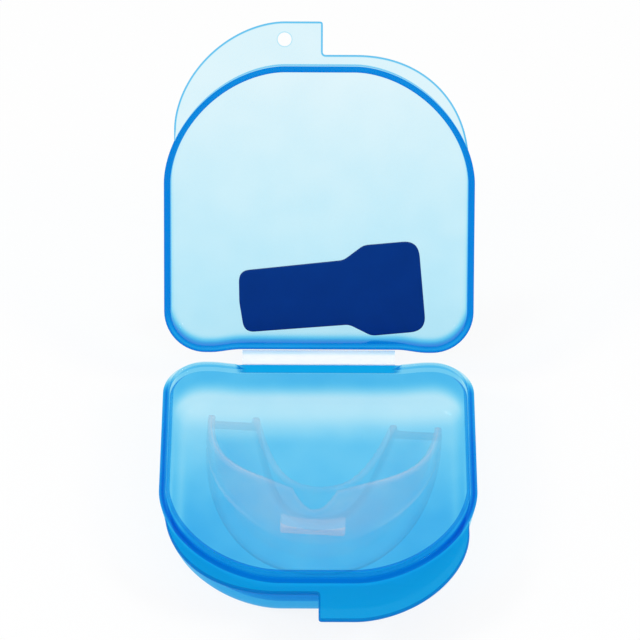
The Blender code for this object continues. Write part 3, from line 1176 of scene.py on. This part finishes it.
@dataclass
class Mouthguard(Piece):
    """Clear tray for the teeth: a channel round an arch, with a notch and a tab in front.

    The rows of way, frost and painted sheen have one value for each corner of the channel's section, or for
    the face after it, from the outer foot up over the outer wall, the floor and the inner wall. The frost
    at the crease and along the top edges paints highlights, and the painted sheen is a whitish reflection
    painted as frost on the outer wall, weaker along the arms.
    """

    width: float = 61.3 * MM
    length: float = 48.6 * MM
    arch_power: float = 2.2
    inside_width: float = 33.9 * MM
    inside_power: float = 2.4
    inside_spread: float = 1.5
    front_channel: float = 21.2 * MM
    floor: float = 3.0 * MM
    wall: float = 1.9 * MM
    front_height: float = 20.4 * MM
    tongue_height: float = 11.0 * MM
    end_height: float = 5.2 * MM
    front_lean: float = 0.46
    end_lean: float = 0.05
    tongue_lean: float = 2.6 * MM
    crease: float = 0.46
    knee: float = 0.8 * MM
    bulge: float = 0.8 * MM
    swell: Point2 = (0.45, 0.5)
    edge_round: float = 0.7 * MM
    face_round: float = 4.0 * MM
    floor_round: float = 1.2 * MM
    notch_width: float = 20.0 * MM
    notch_depth: float = 4.4 * MM
    tab_width: float = 16.3 * MM
    tab_thickness: float = 2.4 * MM
    tab_reach: float = 3.2 * MM
    tab_root: float = 3.0 * MM
    tab_low: float = 12.3 * MM
    tab_round: float = 0.3
    tab_corner: float = 0.8 * MM
    tab_skin: Point2 = (1.0, 0.14)
    turn: float = math.radians(-3.9)
    lift: float = 1.8 * MM
    crisp: float = 40.0
    stations: int = 150
    arc_steps: int = 4
    end_steps: int = 3
    tab_steps: int = 12
    tab_back_steps: int = 10
    face_points: Point3 = (0.1, 0.5, 0.9)
    end_way: float = 4.0
    edge_way: tuple[float, ...] = (3.0, 0.3, 0.6, 1.0, 1.0, 0.6, 0.3, 0.3, 1.0, 1.0, 3.0)
    face_way: tuple[float, ...] = (0.3, 0.3, 1.0, 1.0, 1.0, 0.3, 0.3, 0.5, 1.0, 0.5, 0.3)
    # frost at the crease and along the top edges paints highlights; painted_sheen paints a whitish
    # reflection on the outer wall
    edge_frost_and_highlight: tuple[float, ...] = (0.0, 0.0, 0.15, 0.12, 0.10, 0.03, 0.0, 0.0, 0.05, 0.05, 0.0)
    face_frost_and_highlight: tuple[float, ...] = (0.0, 0.0, 0.02, 0.22, 0.01, 0.0, 0.0, 0.0, 0.07, 0.0, 0.0)
    painted_sheen: tuple[float, ...] = (0.0, 0.0, 0.06, 0.0, 0.03, 0.0, 0.0, 0.0, 0.0, 0.0, 0.0)
    arm: Ramp = Ramp(0.25, 0.4)
    end_share: float = 0.4
    front_share: float = 0.35
    sheen_fade: float = 0.7
    end_round: float = 0.3 * MM
    end_crown: float = 0.03 * MM
    crowned: tuple[int, ...] = (6, 10)

    def corners(self, u: float) -> tuple[Vector, Vector, list[Corner]]:
        """Lay out the channel's section at a station.

        Args:
            u: the station, from -1 at one end to 1 at the other.

        Returns:
            Place of the outer foot in plan, direction across the channel, and corners of the section.
        """
        a, side = abs(u) * math.pi / 2, -1 if u < 0 else 1
        power = 2 / self.arch_power
        outer = Vector((side * self.width / 2 * math.sin(a) ** power,
                        self.length * (1 - math.cos(a) ** power)))
        s = abs(u) ** self.inside_spread
        inner = Vector((side * self.inside_width / 2 * s,
                        self.front_channel + (self.length - self.front_channel) * s ** self.inside_power))
        c = math.cos(a)
        rise = (smooth_step(c) + math.sin(math.pi / 2 * c)) / 2
        full = self.end_height + (self.front_height - self.end_height) * rise
        notch = math.cos(math.pi / 2 * min(2 * abs(outer.x) / self.notch_width, 1.0))
        high = full - self.notch_depth * notch
        tongue = self.end_height + (self.tongue_height - self.end_height) * rise
        lean = self.end_lean + (self.front_lean - self.end_lean) * rise
        fold = self.crease * full
        bulge = lean * fold - self.bulge * rise
        top, wall, width = lean * high, self.wall, (inner - outer).length
        foot = bulge * min(self.floor / fold, 1.0) + wall
        knee = max(fold, self.floor + self.knee)
        bend = bulge + (top - bulge) * (knee - fold) / (high - fold) + wall
        heel = width - wall - self.tongue_lean * rise
        edge, face, floor = self.edge_round, self.face_round, self.floor_round
        corners = [(0.0, 0.0, edge), (bulge * self.swell[0], fold * self.swell[1], face),
                   (bulge, fold, face), (top, high, edge), (top + wall, high, edge), (bend, knee, face),
                   (foot, self.floor, floor), (heel, self.floor, floor),
                   (width - wall, tongue, edge), (width, tongue, edge), (heel + wall, 0.0, edge)]
        return outer, (inner - outer) / width, corners

    def section(self, u: float, inset: float = 0.0, short: float = 0.0) -> Ring:
        """Draw the closed ring of the channel at a station.

        Args:
            u: the station, from -1 at one end to 1 at the other.
            inset: how far the ring is moved in.
            short: how far it stops short of the arm's end.

        Returns:
            The ring of spots.
        """
        outer, across, corners = self.corners(u)
        arm = self.arm.at(abs(u))
        strong = self.end_share if inset else self.front_share + (1 - self.front_share) * arm
        sheen_share = 1 - self.sheen_fade * arm
        bends = round_corners(corners, True, self.arc_steps)
        line: list[Point2] = []
        skins: list[Point2] = []
        for i, place in enumerate(bends):
            corner, step = divmod(i, self.arc_steps + 1)
            line.append(place)
            way = self.end_way if inset else self.edge_way[corner]
            # edge frost paints highlights at the crease and along the top edges
            skins.append((way, self.edge_frost_and_highlight[corner] * strong))
            if step == self.arc_steps:
                start, end = Vector(place), Vector(bends[(i + 1) % len(bends)])
                # face frost paints highlights along the top edges, and the painted sheen a whitish
                # reflection on the outer wall
                frost = self.face_frost_and_highlight[corner] * strong + self.painted_sheen[corner] * sheen_share
                bow = self.end_crown if inset and corner in self.crowned else 0.0
                crown = Vector((end.y - start.y, start.x - end.x)).normalized() * bow
                points = [start.lerp(end, t) + crown * math.sin(math.pi * t) for t in self.face_points]
                line += [tuple(point) for point in points]
                way = self.end_way if inset else self.face_way[corner]
                skins += [(way, frost)] * len(self.face_points)
        ring = []
        for (c, z), skin in zip(shrunk(line, inset) if inset else line, skins):
            p = outer + across * c
            ring.append(Spot(p.x, p.y - self.length / 2 - short, z, *skin))
        return ring

    def rings(self) -> list[Ring]:
        """Draw the channel.

        Returns:
            Its rings, from one rounded end to the other.
        """
        ends = []
        for k in range(self.end_steps + 1):
            a = math.pi / 2 * k / self.end_steps
            ends.append((self.end_round * (1 - math.cos(a)), self.end_round * (1 - math.sin(a))))
        middle = [self.section(2 * k / self.stations - 1) for k in range(1, self.stations)]
        return ([self.section(-1.0, *end) for end in reversed(ends)] + middle
                + [self.section(1.0, *end) for end in ends])

    def face(self, z: float) -> float:
        """Find the outer face in the middle of the front.

        Args:
            z: height above the guard's underside.

        Returns:
            How far the face has leaned in there.
        """
        fold = self.crease * self.front_height
        low = self.front_lean * fold - self.bulge
        high = self.front_height - self.notch_depth
        return low + (self.front_lean * high - low) * (z - fold) / (high - fold)

    def tab(self) -> bpy.types.Object:
        """Make the straight tab that the handle takes.

        Returns:
            The tab with rounded edges, ready to be joined to the channel.
        """
        low, high = self.tab_low, self.tab_low + self.tab_thickness
        edge = self.tab_round * self.tab_thickness
        front = self.face(high) - self.tab_reach
        root = front + self.tab_root
        rings = []
        for k in range(self.tab_steps + 1):
            a = math.pi * k / self.tab_steps
            inset = edge * (1 - min(1.0, 2 * math.sin(a)))
            z = (low + high) / 2 - (high - low) / 2 * math.cos(a)
            side, near = self.tab_width / 2 - inset, front + inset
            corners = [(-side, root, 0.0), (-side, near, self.tab_corner), (side, near, self.tab_corner),
                       (side, root, 0.0)]
            plan = round_corners(corners, False, self.arc_steps)
            for j in range(self.tab_back_steps + 1):
                x = side * (1 - 2 * j / self.tab_back_steps)
                share = (2 * abs(x) / self.width) ** self.arch_power
                arch = self.length * (1 - (1 - share) ** (1 / self.arch_power))
                plan.append((x, arch + self.face(z) + self.wall / 2))
            rings.append([Spot(x, y - self.length / 2, z, *self.tab_skin) for x, y in plan])
        return loft("guard_tab", rings)

    def build(self) -> bpy.types.Object:
        """Make the channel, join the tab to it and lay it in the base.

        Returns:
            The bare guard.
        """
        guard = loft("guard_tray", self.rings())
        combine(guard, self.tab(), Join.UNION)
        guard.data.transform(Matrix.Translation((0.0, 0.0, self.lift)) @ Matrix.Rotation(self.turn, 4, "Z"))
        return guard

    def dress(self, guard: bpy.types.Object) -> None:
        """Give the guard its finish, and let it stand for the CAD mouthguard.

        Args:
            guard: the bare guard.
        """
        coat(guard, self.finish, self.crisp)
        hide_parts("mouthguard")
        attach(guard, Body.GUARD.value)


@dataclass
class FittingHandle(Piece):
    """Flat navy plate with a wide head, lying in the lid."""

    plan: CasePlan
    hinge: Hinge
    lid: LidTray
    length: float = 48.2 * MM
    width: float = 17.0 * MM
    taper: float = 0.4 * MM
    head_width: float = 23.9 * MM
    head_length: float = 14.4 * MM
    shoulder: float = 5.6 * MM
    tip: float = 0.6 * MM
    tip_round: float = 12.6 * MM
    corner: float = 4.2 * MM
    end_corner: float = 3.0 * MM
    thickness: float = 2.4 * MM
    edge: float = 0.45 * MM
    turn: float = math.radians(5.3)
    side_shift: float = 3.1 * MM
    wall_gap: float = 0.68 * MM
    rest_gap: float = 0.3 * MM
    arc_steps: int = 10
    edge_steps: int = 5

    def outline(self) -> list[Point2]:
        """Draw the plate seen from above.

        Returns:
            Its points, anticlockwise.
        """
        back, front = -self.length / 2, self.length / 2
        head = front - self.head_length
        neck = head - self.shoulder
        wide, body = self.head_width / 2, self.width / 2
        half = [(back + self.tip, self.taper - body, self.end_corner), (neck, -body, self.corner),
                (head, -wide, self.corner), (front, -wide, self.corner)]
        corners = half + [(x, -y, r) for x, y, r in reversed(half)] + [(back, 0.0, self.tip_round)]
        return round_corners(corners, True, self.arc_steps)

    def place(self) -> Matrix:
        """Find the plate's place: one edge on the lid's panel, the other on the rounding by the hinge.

        Returns:
            The move from the plate's own place to the open lid.
        """
        under = self.lid.rim + self.lid.height - self.lid.panel
        wall = self.plan.depth / 2 - self.plan.recess - self.plan.wall - self.lid.draft
        radius = self.lid.inner_radius
        drop = radius - self.wall_gap
        stand = radius - math.sqrt(radius ** 2 - drop ** 2)
        tall = self.head_width / 2 * math.cos(self.turn)
        lean = math.asin(stand / (2 * tall))
        reach = max(y * math.cos(self.turn) - x * math.sin(self.turn) for x, y in self.outline())
        spot = Vector((self.side_shift, wall - self.wall_gap - reach, under - self.rest_gap - stand / 2))
        flat = Matrix.Rotation(-self.turn, 4, "Z") @ Matrix.Rotation(-lean, 4, "X")
        return self.hinge.opened() @ Matrix.Translation(spot) @ flat

    def build(self) -> bpy.types.Object:
        """Make the plate with rounded edges and lay it in the lid.

        Returns:
            The bare handle.
        """
        turns = [math.pi / 2 * k / self.edge_steps for k in range(self.edge_steps + 1)]
        edge = [(self.edge * (1 - math.cos(a)), self.edge * (1 - math.sin(a))) for a in turns]
        profile = [(inset, depth - self.thickness) for inset, depth in reversed(edge)]
        profile += [(inset, -depth) for inset, depth in edge]
        plan = self.outline()
        handle = loft("handle_plate", [[Spot(x, y, z) for x, y in shrunk(plan, inset)]
                                       for inset, z in profile])
        handle.data.transform(self.place())
        return handle

    def dress(self, handle: bpy.types.Object) -> None:
        """Give the handle its finish, and let it stand for the CAD handle.

        Args:
            handle: the bare handle.
        """
        coat(handle, self.finish)
        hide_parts("fitting_handle")
        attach(handle, Body.HANDLE.value)


class Lamp(NamedTuple):
    """A square soft lamp: its name, place and size in metres, and power in watts."""

    name: str
    place: Point3
    size: float
    power: float


@dataclass
class Studio:
    """White table, soft light and the camera of the photograph."""

    table: float = 4.0
    table_white: str = "#F0F0F0"
    table_drop: float = 0.2 * MM
    table_glow: float = 0.86
    world_strength: float = 0.76
    target: Point3 = (0.0, 52.8 * MM, 15.0 * MM)
    elevation: float = math.radians(46.24)
    distance: float = 1.011
    lens: float = 215.8
    sensor: float = 36.0
    shift: float = 0.0018
    roll: float = math.radians(0.22)
    clip_end: float = 50.0
    clear_bounces: int = 32
    lamps: tuple[Lamp, ...] = (Lamp("left softbox", (-0.75, -0.2, 0.7), 0.25, 3.3),
                               Lamp("right softbox", (0.75, -0.2, 0.7), 0.25, 2.8))

    def seen(self, tree: bpy.types.NodeTree) -> bpy.types.NodeSocket:
        """Test for a ray that shows the background to the camera, also by way of gloss or glass.

        Args:
            tree: node tree of the table or of the surround.

        Returns:
            The output socket of the test, 1 for such a ray.
        """
        ray = add_node(tree, "ShaderNodeLightPath").outputs
        test = ray["Is Camera Ray"]
        for kind in ("Is Glossy Ray", "Is Transmission Ray"):
            most = add_node(tree, "ShaderNodeMath", {"operation": "MAXIMUM"}, {0: test, 1: ray[kind]})
            test = most.outputs["Value"]
        return test

    def floor(self) -> None:
        """Lay the plain white table."""
        bm = bmesh.new()
        bmesh.ops.create_grid(bm, x_segments=1, y_segments=1, size=self.table / 2)
        bmesh.ops.translate(bm, verts=bm.verts, vec=(0.0, 0.0, -self.table_drop))
        table = object_from("table", bm)
        mat = bpy.data.materials.new("white paper sweep")
        tree = blank_tree(mat)
        paper = add_node(tree, "ShaderNodeBsdfDiffuse", {}, {"Color": (*linear(self.table_white), 1.0)})
        glow = add_node(tree, "ShaderNodeEmission", {}, {"Color": WHITE, "Strength": 1.0})
        share = add_node(tree, "ShaderNodeMath", {"operation": "MULTIPLY"},
                         {0: self.seen(tree), 1: self.table_glow})
        white = add_node(tree, "ShaderNodeMixShader", {}, {0: share, 1: paper, 2: glow})
        add_node(tree, "ShaderNodeOutputMaterial", {}, {"Surface": white})
        coat(table, mat)

    def light(self) -> None:
        """Set the even white surround and the soft lamps."""
        world = bpy.data.worlds.new("white surround")
        tree = blank_tree(world)
        level = add_node(tree, "ShaderNodeMapRange", {},
                         {"Value": self.seen(tree), "To Min": self.world_strength, "To Max": 1.0})
        sky = add_node(tree, "ShaderNodeBackground", {}, {"Color": WHITE, "Strength": level})
        add_node(tree, "ShaderNodeOutputWorld", {}, {"Surface": sky})
        bpy.context.scene.world = world
        for lamp in self.lamps:
            data = bpy.data.lights.new(lamp.name, "AREA")
            data.shape = "SQUARE"
            data.size = lamp.size
            data.energy = lamp.power
            box = add_object(lamp.name, data)
            box.location = lamp.place
            aim = Vector(self.target) - Vector(lamp.place)
            box.rotation_euler = aim.to_track_quat("-Z", "Y").to_euler()

    def camera(self) -> None:
        """Put the camera where the photograph was taken from."""
        data = bpy.data.cameras.new("photo camera")
        data.lens = self.lens
        data.sensor_width = self.sensor
        data.shift_x = self.shift
        data.clip_end = self.clip_end
        camera = add_object("photo camera", data)
        look = Vector((0.0, math.cos(self.elevation), -math.sin(self.elevation)))
        camera.location = Vector(self.target) - look * self.distance
        turn = look.to_track_quat("-Z", "Y").to_matrix() @ Matrix.Rotation(self.roll, 3, "Z")
        camera.rotation_euler = turn.to_euler()
        bpy.context.scene.camera = camera

    def build(self) -> None:
        """Set up the table, the light, the camera and the plain view transform."""
        self.floor()
        self.light()
        self.camera()
        bpy.context.scene.view_settings.view_transform = "Standard"
        bpy.context.scene.cycles.transparent_max_bounces = self.clear_bounces


def main() -> None:
    """Build the studio and every piece, and log each piece's face count."""
    logging.basicConfig(level=logging.INFO, format="%(name)s: %(message)s")
    Studio().build()
    plan, hinge = CasePlan(), Hinge()
    case_blue = CASE_BLUE.make()
    lid = LidTray(case_blue, plan, hinge)
    pieces: list[Piece] = [
        BaseTray(case_blue, plan),
        lid,
        HingeFilm(FILM_PALE.make(), plan, hinge),
        Mouthguard(GUARD_CLEAR.make()),
        FittingHandle(HANDLE_NAVY.make(), plan, hinge, lid),
    ]
    for piece in pieces:
        obj = piece.build()
        piece.dress(obj)
        LOG.info("%s: %d faces", obj.name, len(obj.data.polygons))


if __name__ == "__main__":
    main()
